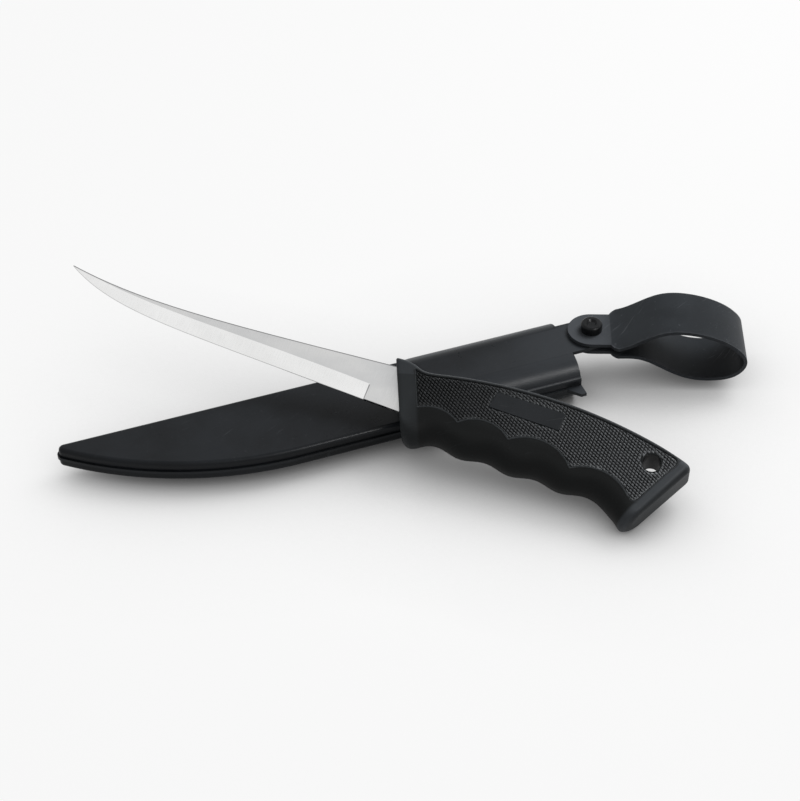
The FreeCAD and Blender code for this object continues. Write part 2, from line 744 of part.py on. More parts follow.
def ground_blade():
    """Ground part of the blade, from the plunge to the tip: a smooth loft of six-sided sections."""
    length = number("blade_length")
    first = number("plunge_distance") / length
    last = 1 - number("tip_thickness") / length
    edge_half = number("edge_thickness") / 2
    sections = []
    for n in range(BLADE_STATIONS + 1):
        share = first + (last - first) * math.sin(math.pi / 2 * n / BLADE_STATIONS)
        spine, grind, edge = blade_line(share)
        half = blade_thickness_at(share) / 2
        u = -share * length
        upper = [(spine, half), (grind, half), (edge, edge_half)]
        lower = [(w, -h) for w, h in reversed(upper)]
        points = [Vector(u, w, h) for w, h in upper + lower]
        sections.append(Part.makePolygon(points + points[:1]))
    feature = doc.addObject("Part::Feature", "ground_blade")
    feature.Shape = Part.makeLoft(sections, True, False)
    return feature


def tang_blank():
    """Ricasso and tang: flat bar stock with two keying holes."""
    body = new_body("tang_blank")
    sketch = new_sketch(body, "tang_outline", "XY_Plane")
    share = "(plunge_distance / blade_length)"
    spine = "(blade_width / 2 - spine_drop * %s)" % share
    edge = "(-blade_width / 2 + edge_rise * %s)" % share
    half = "(tang_width / 2)"
    draw(sketch, [
        ("-plunge_distance", spine), ("-plunge_distance", edge), ("tang_shoulder", "-blade_width / 2"),
        ("tang_shoulder", "-" + half), ("tang_length", "-" + half), ("tang_length", half),
        ("tang_shoulder", half), ("tang_shoulder", "blade_width / 2"), ("0", "blade_width / 2"),
    ])
    for station in ("tang_hole_near", "tang_hole_far"):
        circle(sketch, station, "0", "tang_hole / 2")
    pad(body, sketch, "blade_thickness", "tang", symmetric=True)
    return body


def core_blank():
    """Block of hard plastic that is moulded round the tang."""
    block = doc.addObject("Part::Box", "core_blank")
    bind(block, Length="core_length", Width="core_height", Height="core_thickness")
    bind(block, **{
        "Placement.Base.x": "core_start", "Placement.Base.y": "-core_height / 2",
        "Placement.Base.z": "-core_thickness / 2",
    })
    return block


def lanyard_bore():
    bore = doc.addObject("Part::Cylinder", "lanyard_bore")
    bind(bore, Radius="lanyard_hole / 2", Height="2 * handle_thickness")
    bind(bore, **{
        "Placement.Base.x": LANYARD_STATION, "Placement.Base.y": "lanyard_height",
        "Placement.Base.z": "-handle_thickness",
    })
    return bore


def make_knife():
    tang = tang_blank()
    block = core_blank()
    blade = doc.addObject("Part::Fuse", "blade")
    blade.Base = ground_blade()
    blade.Tool = tang
    core = cut("handle_core", block, tang)
    sunk = cut("panelled_grip", grip_blank(), panel_blank())
    room = doc.addObject("Part::MultiFuse", "grip_room")
    room.Shapes = [tang, block, lanyard_bore()]
    grip = cut("handle_grip", sunk, room)
    return [blade, core, grip]


def resting_place():
    """Placement of the knife: underside on the pouch's shoulder and on the blade case, butt on the floor."""
    pouch_half = number(POUCH_HALF)
    pouch_centre = pouch_half - number(SHEATH_HALF)
    slant = math.tan(math.radians(number("shoulder_slant")))
    clearance = number("rest_clearance")
    belly_round = number(BELLY_ROUND)
    case_round = number("case_round")
    case_edge = number(CASE_HALF)
    rim = pouch_centre - math.sqrt(pouch_half ** 2 - case_edge ** 2)
    case_line = Vector(-number("case_contact"), rim + case_round, pouch_half + case_edge - case_round)
    corner = handle_line(1)[1].x
    deepest = max(belly_at(number(FLARE_END)), belly_at(corner))
    seat = Vector(corner, belly_round - deepest, -number("handle_thickness") / 2)
    heading = Rotation(Vector(0, 0, 1), number("knife_heading")).multVec(Vector(1, 0, 0))
    normal = Vector(0, 0, 1)
    for _ in range(SETTLING_ROUNDS):
        u_axis = (heading - normal * heading.dot(normal)).normalize()
        rotation = Rotation(u_axis, normal.cross(u_axis), normal, "ZXY")
        reach = rotation.multVec(seat)
        on_floor = Vector(number("knife_x"), number("knife_y"), 0) + reach
        on_floor.z = belly_round * (1 - normal.z)
        side = Vector(0, normal.y, normal.z).normalize() * (pouch_half + clearance)
        on_pouch = Vector(0, pouch_centre + side.y, pouch_half + side.z)
        on_pouch.x = -number("pouch_length") + slant * on_pouch.y
        on_case = case_line + normal * (case_round + clearance)
        normal = (on_floor - on_case).cross(on_pouch - on_case).normalize()
        if normal.z < 0:
            normal = normal * -1
    return Placement(on_floor - reach, rotation)


def check(pieces):
    """Stop if any object failed or a piece isn't one sound solid."""
    failed = [item.Name for item in doc.Objects if {"Invalid", "Error"} & set(item.State)]
    for piece in pieces:
        shape = piece.Shape
        if shape.isNull() or not shape.isValid() or len(shape.Solids) != 1:
            failed.append(piece.Name)
    if failed:
        raise RuntimeError("failed: " + ", ".join(failed))


def main():
    knife = make_knife()
    sheath = make_sheath()
    hanger = make_hanger()
    doc.recompute()
    place = resting_place()
    for piece in knife:
        piece.Placement = place
    pieces = knife + sheath + hanger
    doc.recompute()
    check(pieces)
    box = FreeCAD.BoundBox()
    for piece in pieces:
        box.add(piece.Shape.optimalBoundingBox(False))
    shift = Placement(Vector(-box.Center.x, -box.Center.y, -box.ZMin), Rotation())
    os.makedirs("parts", exist_ok=True)
    for piece in pieces:
        piece.Label = piece.Name
        shape = piece.Shape.copy()
        shape.Placement = shift * shape.Placement
        shape.exportStep("parts/%s.step" % piece.Label)
        volume = shape.Volume / 1000
        print("%-14s %7.2f cm3  %s" % (piece.Label, volume, shape.BoundBox))
    print("moved by", shift.Base)


main()
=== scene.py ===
"""Looks of the fillet knife on its sheath: finishes for the CAD nodes and the grip's fine relief.

Metres, in the row frame. The knife has axes of its own, in millimetres: u along the handle from the guard to
the butt, w from the cutting edge to the spine, and h square to the blade's flat.
"""
import json
import math

import bpy
from mathutils import Matrix, Vector
from mathutils.bvhtree import BVHTree


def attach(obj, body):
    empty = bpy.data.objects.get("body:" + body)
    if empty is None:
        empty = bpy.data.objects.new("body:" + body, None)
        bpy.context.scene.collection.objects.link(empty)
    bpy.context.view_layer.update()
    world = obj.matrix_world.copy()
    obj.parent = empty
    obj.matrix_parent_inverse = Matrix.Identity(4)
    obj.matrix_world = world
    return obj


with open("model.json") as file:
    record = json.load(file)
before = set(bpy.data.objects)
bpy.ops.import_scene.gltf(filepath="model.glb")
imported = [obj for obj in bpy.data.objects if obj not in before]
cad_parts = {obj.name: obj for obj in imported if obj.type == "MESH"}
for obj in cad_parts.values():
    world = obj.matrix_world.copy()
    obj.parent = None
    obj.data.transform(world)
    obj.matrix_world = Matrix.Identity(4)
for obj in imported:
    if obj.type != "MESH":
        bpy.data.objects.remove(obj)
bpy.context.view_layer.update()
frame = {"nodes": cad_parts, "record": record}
MM = 0.001

# Where the sheath's mouth and the knife are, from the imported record
mounts = {mount["name"]: mount for mount in frame["record"]["mounts"]}
UNDERSIDE_BEHIND_MOUTH = 30 * MM
mouth = Vector(mounts["pouch_underside"]["pos_m"]) + Vector((UNDERSIDE_BEHIND_MOUTH, 0, 0))
KNIFE_HEADING = math.radians(-43.94)
HOLE_U, HOLE_W, HOLE_RADIUS = 115.6, 1.7, 4.0
square = Vector(mounts["lanyard_hole"]["axis"]).normalized()
heading = Vector((math.cos(KNIFE_HEADING), math.sin(KNIFE_HEADING), 0))
along = (heading - square * heading.dot(square)).normalized()
across = square.cross(along)
knife_origin = Vector(mounts["lanyard_hole"]["pos_m"]) - (along * HOLE_U + across * HOLE_W) * MM
knife_turn = Matrix((along, across, square)).transposed()

# The handle's spine and its checkered panels, as the CAD draws them
HANDLE_LENGTH = 129.0
HALF_THICKNESS = 9.0
GUARD_LEAN = math.tan(math.radians(23.3))
BUTT_LEAN = math.tan(math.radians(26))
COLLAR_HEIGHT, COLLAR_SPREAD = 11.0, 7.0
NECK, CROWN, HEEL = (14, 9.3), (66, 15.75), (127, 7.9)
PANEL_RECESS, PANEL_TOP, PANEL_FRONT, PANEL_END, PANEL_CORNER = 0.7, 1.6, 8.9, 5.3, 2.2
PANEL_FRONT_DEPTH, PANEL_END_DEPTH = 8.3, 20.2
CUSPS = [(31.5, -8.7), (54.8, -8.8), (83.8, -12.3)]
ARCH_RISES = [2.9, 4.55, 5.95, 6.95]
PANEL_FLOOR = HALF_THICKNESS - PANEL_RECESS

# The blade's spine and edge, as the CAD draws them: height at the guard, slope, height at the tip, power
BLADE_LENGTH = 161.5
SPINE_SWEEP = (10, -12.3, 7.2, 4.5)
EDGE_SWEEP = (-10, 5, 7.2, 7.5)
PLUNGE_DISTANCE, PLUNGE_RISE = 12.4, 7.0


def at(u, w, h):
    """Point of the row frame from the knife's own axes."""
    return knife_origin + (along * u + across * w + square * h) * MM


def circle_through(a, b, c):
    """Centre and radius of the circle through three points."""
    (ax, ay), (bx, by), (cx, cy) = a, b, c
    d = 2 * (ax * (by - cy) + bx * (cy - ay) + cx * (ay - by))
    a2, b2, c2 = ax * ax + ay * ay, bx * bx + by * by, cx * cx + cy * cy
    x = (a2 * (by - cy) + b2 * (cy - ay) + c2 * (ay - by)) / d
    y = (a2 * (cx - bx) + b2 * (ax - cx) + c2 * (bx - ax)) / d
    return x, y, math.hypot(ax - x, ay - y)


BACK_X, BACK_Y, BACK_RADIUS = circle_through(NECK, CROWN, HEEL)
BUTT_FROM = 100
ARC_STEPS = 8
SETTLING_ROUNDS = 20
TOLERANCE = 1e-6


def spine_at(u):
    def back(station):
        return BACK_Y + math.sqrt(BACK_RADIUS ** 2 - (station - BACK_X) ** 2)
    behind = max(u, 0)
    return back(behind) + (COLLAR_HEIGHT - back(0)) * math.exp(-(behind / COLLAR_SPREAD) ** 2)


def arch_points(start, end, rise, inset, steps=28):
    """Points along an arch of the panel's lower border, moved into the panel by inset."""
    chord = end - start
    up = Vector((-chord.y, chord.x)).normalized()
    radius = (chord.length_squared / 4 + rise * rise) / (2 * rise)
    centre = (start + end) / 2 + up * (rise - radius)
    half = math.asin(chord.length / 2 / radius)
    points = []
    for n in range(steps + 1):
        angle = half * (2 * n / steps - 1)
        way = up * math.cos(angle) + chord.normalized() * math.sin(angle)
        points.append(centre + way * (radius + inset))
    return points


def panel_outline(inset, stations=90):
    """Closed outline of a checkered panel in (u, w), smaller by inset all round."""
    front = Vector((0, 0))
    back = Vector((0, 0))
    for _ in range(SETTLING_ROUNDS):
        front.x = PANEL_FRONT + inset - front.y * GUARD_LEAN
        back.x = HANDLE_LENGTH - PANEL_END - inset + back.y * BUTT_LEAN
        for place in (front, back):
            place.y = spine_at(place.x) - PANEL_TOP - inset
    upper = []
    for n in range(stations + 1):
        u = front.x + (back.x - front.x) * n / stations
        upper.append(Vector((u, spine_at(u) - PANEL_TOP - inset)))
    first = Vector((PANEL_FRONT + PANEL_FRONT_DEPTH * GUARD_LEAN, -PANEL_FRONT_DEPTH))
    last = Vector((HANDLE_LENGTH - PANEL_END - PANEL_END_DEPTH * BUTT_LEAN, -PANEL_END_DEPTH))
    ends = [first] + [Vector(cusp) for cusp in CUSPS] + [last]
    lower = []
    for n, rise in enumerate(ARCH_RISES):
        for point in arch_points(ends[n], ends[n + 1], rise, inset):
            low = n == 0 or point.x > ends[n].x
            high = n == len(ARCH_RISES) - 1 or point.x < ends[n + 1].x
            ahead = point.x > PANEL_FRONT + inset - point.y * GUARD_LEAN - TOLERANCE
            before = point.x < HANDLE_LENGTH - PANEL_END - inset + point.y * BUTT_LEAN + TOLERANCE
            if low and high and ahead and before:
                lower.append(point)
    return upper + lower[::-1]


def rounded(outline, butt_radius, other_radius, sharp=0.5):
    """Outline with its sharp corners cut by arcs, of one radius at the butt and another elsewhere."""
    arcs = []
    count = len(outline)
    for n, corner in enumerate(outline):
        before = (outline[n - 1] - corner).normalized()
        after = (outline[(n + 1) % count] - corner).normalized()
        turn = math.pi - before.angle(after)
        if turn > sharp:
            radius = butt_radius if corner.x > BUTT_FROM else other_radius
            arcs.append((n, corner, before, after, turn, radius))
    reach_of = {n: radius * math.tan(turn / 2) for n, _, _, _, turn, radius in arcs}
    arc_of = {arc[0]: arc for arc in arcs}
    points = []
    for n, point in enumerate(outline):
        if n not in arc_of:
            if all((point - arc[1]).length > reach_of[arc[0]] for arc in arcs):
                points.append(point)
            continue
        _, corner, before, after, turn, radius = arc_of[n]
        centre = corner + (before + after).normalized() * (radius / math.cos(turn / 2))
        first = corner + before * reach_of[n] - centre
        last = corner + after * reach_of[n] - centre
        for step in range(ARC_STEPS + 1):
            points.append(centre + first.lerp(last, step / ARC_STEPS).normalized() * radius)
    return points


def inside(point, outline):
    """Whether a point is inside a closed outline."""
    found = False
    last = outline[-1]
    for here in outline:
        if (here.y > point.y) != (last.y > point.y):
            if point.x < (last.x - here.x) * (point.y - here.y) / (last.y - here.y) + here.x:
                found = not found
        last = here
    return found


def nearest(point, outline):
    """Nearest point on a closed outline."""
    best = None
    last = outline[-1]
    for here in outline:
        edge = here - last
        share = min(max((point - last).dot(edge) / max(edge.length_squared, 1e-12), 0), 1)
        spot = last + edge * share
        gap = (spot - point).length_squared
        if best is None or gap < best[0]:
            best = (gap, spot)
        last = here
    return best[1]


# Pieces
def add_piece(name, points, faces, body, material, smooth=False):
    """A mesh piece that rides on a body."""
    mesh = bpy.data.meshes.new(name)
    mesh.from_pydata([tuple(p) for p in points], [], faces)
    mesh.validate()
    mesh.polygons.foreach_set("use_smooth", [smooth] * len(mesh.polygons))
    mesh.materials.append(material)
    mesh.update()
    piece = bpy.data.objects.new(name, mesh)
    bpy.context.scene.collection.objects.link(piece)
    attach(piece, body)


grip_mesh = frame["nodes"]["handle_grip"].data
grip_tree = BVHTree.FromPolygons(
    [v.co.copy() for v in grip_mesh.vertices], [tuple(p.vertices) for p in grip_mesh.polygons]
)


PROBE_HEIGHT = 30


def grip_level(u, w, side):
    """Height h of the grip's upper (1) or lower (-1) face over a point of the knife's plane."""
    start = at(u, w, PROBE_HEIGHT * side)
    hit = grip_tree.ray_cast(start, square * -side)[0]
    return (hit - knife_origin).dot(square) / MM


# Nodes
def new_material(name):
    material = bpy.data.materials.new(name)
    material.use_nodes = True
    return material, material.node_tree


def link(tree, output, target):
    tree.links.new(output, target)


def node(tree, kind, **inputs):
    made = tree.nodes.new(kind)
    for key, value in inputs.items():
        socket = made.inputs[key.replace("_", " ")]
        if isinstance(value, bpy.types.NodeSocket):
            link(tree, value, socket)
        else:
            socket.default_value = value
    return made


def knife_coordinates(tree):
    """Coordinates in the knife's own axes, in metres."""
    place = tree.nodes.new("ShaderNodeTexCoord").outputs["Object"]
    mapping = node(tree, "ShaderNodeMapping", Vector=place)
    mapping.vector_type = "TEXTURE"
    mapping.inputs["Location"].default_value = knife_origin
    mapping.inputs["Rotation"].default_value = knife_turn.to_euler()
    return mapping.outputs["Vector"]


def sheath_coordinates(tree):
    return tree.nodes.new("ShaderNodeTexCoord").outputs["Object"]


def stretched(tree, coordinates, scale, turn=0.0):
    """Coordinates turned about z and then scaled, so a large scale makes a narrow mark."""
    mapping = node(tree, "ShaderNodeMapping", Vector=coordinates)
    mapping.vector_type = "TEXTURE"
    mapping.inputs["Scale"].default_value = [1 / value for value in scale]
    mapping.inputs["Rotation"].default_value = (0, 0, turn)
    return mapping.outputs["Vector"]


def noise(tree, coordinates, scale, detail=4.0, roughness=0.55):
    made = node(
        tree, "ShaderNodeTexNoise", Vector=coordinates, Scale=scale, Detail=detail, Roughness=roughness,
    )
    return made.outputs["Fac"]


def ramp(tree, value, low, high, first=0.0, last=1.0):
    """Maps a value from low..high to first..last, clamped and eased."""
    made = node(
        tree, "ShaderNodeMapRange", Value=value, From_Min=low, From_Max=high, To_Min=first, To_Max=last,
    )
    made.interpolation_type = "SMOOTHSTEP"
    return made.outputs["Result"]


def maths(tree, operation, first, second):
    made = tree.nodes.new("ShaderNodeMath")
    made.operation = operation
    for socket, value in zip(made.inputs, (first, second)):
        if isinstance(value, bpy.types.NodeSocket):
            link(tree, value, socket)
        else:
            socket.default_value = value
    return made.outputs[0]


def mixed(tree, share, first, second):
    """Colour between two colours, each a tuple or a socket."""
    made = tree.nodes.new("ShaderNodeMix")
    made.data_type = "RGBA"
    colours = [s for s in made.inputs if s.type == "RGBA"]
    link(tree, share, made.inputs[0])
    for socket, value in zip(colours, (first, second)):
        if isinstance(value, bpy.types.NodeSocket):
            link(tree, value, socket)
        else:
            socket.default_value = (*value, 1)
    return next(s for s in made.outputs if s.type == "RGBA")


def bump(tree, height, distance, strength, normal=None):
    made = node(tree, "ShaderNodeBump", Height=height, Strength=strength, Distance=distance)
    if normal is not None:
        link(tree, normal, made.inputs["Normal"])
    return made.outputs["Normal"]


# Painted shade on the grip's lower half and painted highlights on the strips along the spine, the butt and
# the collar
BELLY_SHADE_SHARE = 0.85
BELLY_SHADE_COLOUR = (0.0045, 0.0048, 0.0047)
STRIP_HIGHLIGHT_COLOUR = (0.075, 0.082, 0.09)
SPINE_HIGHLIGHT, BUTT_HIGHLIGHT, BUTT_FACE_HIGHLIGHT, COLLAR_HIGHLIGHT = 0.5, 0.85, 0.3, 0.2


def belly_shade_and_strip_highlights(tree, place, colour):
    """Painted shade on the grip's lower half, which faces away from the light, and painted highlights on the
    strips round the panels along the spine, the butt and the collar.
    """
    axes = node(tree, "ShaderNodeSeparateXYZ", Vector=place).outputs
    behind = ramp(tree, axes["X"], 6 * MM, 16 * MM)
    before = ramp(tree, axes["X"], 108 * MM, 124 * MM, 1.0, 0.0)
    under = ramp(tree, axes["Y"], -9 * MM, 1 * MM, 1.0, 0.0)
    share = maths(tree, "MULTIPLY", maths(tree, "MULTIPLY", behind, before), under)
    # Painted shade: the lower half of the grip darkened, as it faces away from the light
    dark = mixed(tree, maths(tree, "MULTIPLY", share, BELLY_SHADE_SHARE), colour, BELLY_SHADE_COLOUR)
    reach = maths(tree, "SUBTRACT", axes["X"], BACK_X * MM)
    rise = maths(tree, "SUBTRACT", (BACK_RADIUS * MM) ** 2, maths(tree, "MULTIPLY", reach, reach))
    back = maths(tree, "ADD", maths(tree, "POWER", rise, 0.5), BACK_Y * MM)
    drop = maths(tree, "SUBTRACT", back, axes["Y"])
    spine = ramp(tree, drop, (PANEL_TOP - 0.3) * MM, (PANEL_TOP + 0.3) * MM, SPINE_HIGHLIGHT, 0.0)
    slant = maths(tree, "SUBTRACT", axes["X"], maths(tree, "MULTIPLY", axes["Y"], BUTT_LEAN))
    butt_from = (HANDLE_LENGTH - PANEL_END) * MM
    butt = ramp(tree, slant, butt_from - 1 * MM, butt_from + 1 * MM, 0.0, BUTT_HIGHLIGHT)
    face_from = (HANDLE_LENGTH - 2) * MM
    face = ramp(tree, slant, face_from, face_from + 1.5 * MM, BUTT_HIGHLIGHT, BUTT_FACE_HIGHLIGHT)
    butt = maths(tree, "MINIMUM", butt, face)
    slant = maths(tree, "ADD", axes["X"], maths(tree, "MULTIPLY", axes["Y"], GUARD_LEAN))
    collar = ramp(tree, slant, (PANEL_FRONT - 1) * MM, (PANEL_FRONT + 1) * MM, COLLAR_HIGHLIGHT, 0.0)
    # Painted highlights on the strips along the spine, the butt's rim and end face, and the collar
    strip = maths(tree, "MAXIMUM", spine, maths(tree, "MAXIMUM", butt, collar))
    return mixed(tree, strip, dark, STRIP_HIGHLIGHT_COLOUR)


def glints_towards_butt(tree, place):
    """Share of the painted glints on the knob tips, growing from the guard to the butt, towards the light."""
    axes = node(tree, "ShaderNodeSeparateXYZ", Vector=place).outputs
    return ramp(tree, axes["X"], 0 * MM, 120 * MM, 0.2, 1.0)


def moulded(
    name, dark, light, pale_tone, shine, roughness, coordinates, grain, scuffs,
    edge_wear_and_highlight=0.35, shade=None, glint_by=None,
):
    """Moulded plastic or rubber: mottled colour, fine grain, scuffs, and paler edges, worn on most finishes
    and a painted highlight on the checkering's knob tips and on the panel rims.
    """
    material, tree = new_material(name)
    shader = tree.nodes["Principled BSDF"]
    place = coordinates(tree)
    cloud = noise(tree, place, 28.0, 5.0, 0.6)
    colour = mixed(tree, ramp(tree, cloud, 0.32, 0.7), dark, light)
    if shade is not None:
        colour = shade(tree, place, colour)
    dust = ramp(tree, noise(tree, place, 420.0, 3.0, 0.7), 0.62, 0.78)
    colour = mixed(tree, maths(tree, "MULTIPLY", dust, 0.1 + 0.4 * scuffs), colour, pale_tone)
    streak = noise(tree, stretched(tree, place, (60, 1500, 60), 0.5), 1.0, 2.0, 0.5)
    other = noise(tree, stretched(tree, place, (70, 1300, 50), 0.2), 1.0, 2.0, 0.5)
    streak = maths(tree, "MAXIMUM", ramp(tree, streak, 0.65, 0.74), ramp(tree, other, 0.68, 0.76))
    patch = ramp(tree, noise(tree, place, 45.0, 2.0), 0.48, 0.64)
    scratch = maths(tree, "MULTIPLY", maths(tree, "MULTIPLY", streak, patch), scuffs)
    colour = mixed(tree, scratch, colour, pale_tone)
    # Paler edges by pointiness: edge wear, and on the checkering and the rims a painted highlight
    point = tree.nodes.new("ShaderNodeNewGeometry").outputs["Pointiness"]
    edge = ramp(tree, point, 0.52, 0.62, 0.0, edge_wear_and_highlight)
    if glint_by is not None:
        edge = maths(tree, "MULTIPLY", edge, glint_by(tree, place))
    link(tree, mixed(tree, edge, colour, pale_tone), shader.inputs["Base Color"])
    rough = ramp(tree, cloud, 0.3, 0.75, roughness - 0.06, roughness + 0.08)
    rough = maths(tree, "SUBTRACT", rough, maths(tree, "MULTIPLY", scratch, 0.1))
    link(tree, rough, shader.inputs["Roughness"])
    shader.inputs["Specular IOR Level"].default_value = shine
    fine = bump(tree, noise(tree, place, grain, 2.0, 0.6), 0.00012, 0.35)
    soft = bump(tree, cloud, 0.0006, 0.08, fine)
    cut = bump(tree, maths(tree, "SUBTRACT", 1.0, scratch), 0.00004, 0.5, soft)
    link(tree, cut, shader.inputs["Normal"])
    return material


def sweep(tree, share, root, slope, tip, power):
    """Height of the blade's spine or edge at a share of its length: a slope, then a sweep to the tip."""
    bend = maths(tree, "MULTIPLY", maths(tree, "POWER", share, power), (tip - root - slope) * MM)
    line = maths(tree, "MULTIPLY", share, slope * MM)
    return maths(tree, "ADD", maths(tree, "ADD", line, bend), root * MM)


def blade_lines(tree, place):
    """1 on the thin dark lines along the spine, the cutting edge and the end of the grind: painted shade
    standing in for the narrow faces there.
    """
    axes = node(tree, "ShaderNodeSeparateXYZ", Vector=place).outputs
    share = maths(tree, "MAXIMUM", maths(tree, "DIVIDE", axes["X"], -BLADE_LENGTH * MM), 0.0)
    under = maths(tree, "SUBTRACT", sweep(tree, share, *SPINE_SWEEP), axes["Y"])
    over = maths(tree, "SUBTRACT", axes["Y"], sweep(tree, share, *EDGE_SWEEP))
    spine = ramp(tree, under, 0.2 * MM, 0.6 * MM, 0.75, 0.0)
    edge = ramp(tree, over, 0.1 * MM, 0.4 * MM, 0.4, 0.0)
    before = maths(tree, "ABSOLUTE", maths(tree, "ADD", axes["X"], PLUNGE_DISTANCE * MM), 0.0)
    ground = ramp(tree, over, PLUNGE_RISE * MM, (PLUNGE_RISE + 0.4) * MM, 1.0, 0.0)
    plunge = maths(tree, "MULTIPLY", ramp(tree, before, 0.1 * MM, 0.4 * MM, 0.8, 0.0), ground)
    blade_only = maths(tree, "MULTIPLY", maths(tree, "MAXIMUM", spine, edge), ramp(tree, share, 0.0, 0.02))
    return maths(tree, "MAXIMUM", blade_only, plunge)


def steel(name):
    """Satin blade steel: brighter on the ground bevel, with fine lines from spine to edge."""
    material, tree = new_material(name)
    shader = tree.nodes["Principled BSDF"]
    place = knife_coordinates(tree)
    facing = tree.nodes.new("ShaderNodeVectorMath")
    facing.operation = "DOT_PRODUCT"
    link(tree, tree.nodes.new("ShaderNodeTexCoord").outputs["Normal"], facing.inputs[0])
    facing.inputs[1].default_value = -across
    bevel = ramp(tree, facing.outputs["Value"], 0.012, 0.03)
    lines = noise(tree, stretched(tree, place, (9000, 140, 140)), 1.0, 3.0, 0.6)
    cloud = noise(tree, stretched(tree, place, (22, 60, 60)), 1.0, 4.0)
    flat = mixed(tree, ramp(tree, cloud, 0.3, 0.7), (0.58, 0.585, 0.59), (0.68, 0.68, 0.675))
    ground = mixed(tree, ramp(tree, cloud, 0.3, 0.7), (0.86, 0.86, 0.855), (0.93, 0.93, 0.925))
    colour = mixed(tree, bevel, flat, ground)
    brushed = mixed(tree, ramp(tree, lines, 0.35, 0.65, 0.0, 0.16), colour, (0.36, 0.36, 0.36))
    # Painted shade: thin dark lines along the spine, the cutting edge and the plunge
    link(tree, mixed(tree, blade_lines(tree, place), brushed, (0.1, 0.1, 0.105)), shader.inputs["Base Color"])
    shader.inputs["Metallic"].default_value = 1.0
    satin = ramp(tree, lines, 0.3, 0.7, 0.27, 0.4)
    polish = ramp(tree, bevel, 0.0, 1.0, 0.0, 0.08)
    link(tree, maths(tree, "SUBTRACT", satin, polish), shader.inputs["Roughness"])
    link(tree, bump(tree, lines, 0.00002, 0.25), shader.inputs["Normal"])
    return material


def lacquered(name):
    """Black lacquered rivet metal, rubbed through to bare metal in specks."""
    material, tree = new_material(name)
    shader = tree.nodes["Principled BSDF"]
    place = sheath_coordinates(tree)
    speck = ramp(tree, noise(tree, place, 900.0, 4.0, 0.7), 0.62, 0.72)
    cloud = noise(tree, place, 160.0, 4.0)
    point = tree.nodes.new("ShaderNodeNewGeometry").outputs["Pointiness"]
    edge = ramp(tree, point, 0.52, 0.62, 0.0, 0.5)
    black = mixed(tree, ramp(tree, cloud, 0.3, 0.7), (0.006, 0.0065, 0.0075), (0.012, 0.013, 0.0145))
    pale_tone = maths(tree, "MAXIMUM", edge, maths(tree, "MULTIPLY", speck, 0.3))
    link(tree, mixed(tree, pale_tone, black, (0.07, 0.07, 0.073)), shader.inputs["Base Color"])
    link(tree, ramp(tree, cloud, 0.3, 0.7, 0.26, 0.42), shader.inputs["Roughness"])
    shader.inputs["Specular IOR Level"].default_value = 0.14
    link(tree, bump(tree, cloud, 0.0001, 0.2), shader.inputs["Normal"])
    return material


SHEATH = moulded(
    "sheath_moulded", dark=(0.0095, 0.011, 0.013), light=(0.0155, 0.0178, 0.021), pale_tone=(0.06, 0.066, 0.074),
    shine=0.13, roughness=0.32, coordinates=sheath_coordinates, grain=2600.0, scuffs=0.4, edge_wear_and_highlight=0.5,
)
STRAP = moulded(
    "strap_moulded", dark=(0.0185, 0.0212, 0.0245), light=(0.0295, 0.0335, 0.038), pale_tone=(0.11, 0.118, 0.13),
    shine=0.08, roughness=0.45, coordinates=sheath_coordinates, grain=2200.0, scuffs=0.9, edge_wear_and_highlight=0.5,
)
GRIP = moulded(
    "grip_rubber", dark=(0.017, 0.019, 0.0196), light=(0.025, 0.028, 0.029), pale_tone=(0.05, 0.055, 0.06),
    shine=0.1, roughness=0.46, coordinates=knife_coordinates, grain=3000.0, scuffs=0.25, edge_wear_and_highlight=0.0,
    shade=belly_shade_and_strip_highlights,
)
# Rim beads: the grip's rubber painted paler, with pale edges, as a painted highlight line round the panels
RIM = moulded(
    "grip_rim_highlight", dark=(0.024, 0.0265, 0.028), light=(0.036, 0.0395, 0.042), pale_tone=(0.07, 0.075, 0.08),
    shine=0.12, roughness=0.4, coordinates=knife_coordinates, grain=3000.0, scuffs=0.2, edge_wear_and_highlight=0.3,
)
# Checkering: the pale tone on the knob tips is a painted glint, and the dark colour, darker than the grip's
# rubber, is painted shade among the knobs
CHECKER = moulded(
    "grip_checkering", dark=(0.003, 0.0034, 0.0036), light=(0.0055, 0.006, 0.0064), pale_tone=(0.34, 0.355, 0.37),
    shine=0.13, roughness=0.28, coordinates=knife_coordinates, grain=3500.0, scuffs=0.1, edge_wear_and_highlight=0.95,
    glint_by=glints_towards_butt,
)
PLATE = moulded(
    "grip_plate", dark=(0.0165, 0.0185, 0.0205), light=(0.024, 0.0265, 0.0295), pale_tone=(0.06, 0.065, 0.07),
    shine=0.14, roughness=0.4, coordinates=knife_coordinates, grain=2600.0, scuffs=0.5,
)
CORE = moulded(
    "core_plastic", dark=(0.02, 0.02, 0.02), light=(0.03, 0.03, 0.03), pale_tone=(0.06, 0.06, 0.06),
    shine=0.3, roughness=0.5, coordinates=knife_coordinates, grain=2500.0, scuffs=0.1,
)
STEEL = steel("blade_satin")
RIVET = lacquered("rivet_lacquer")

FINISH = {
    "blade": STEEL, "handle_core": CORE, "handle_grip": GRIP, "sheath_front": SHEATH, "sheath_back": SHEATH,
    "belt_loop": STRAP, "rivet_cap": RIVET, "rivet_base": RIVET,
}
for name, material in FINISH.items():
    mesh = frame["nodes"][name].data
    mesh.materials.clear()
    mesh.materials.append(material)

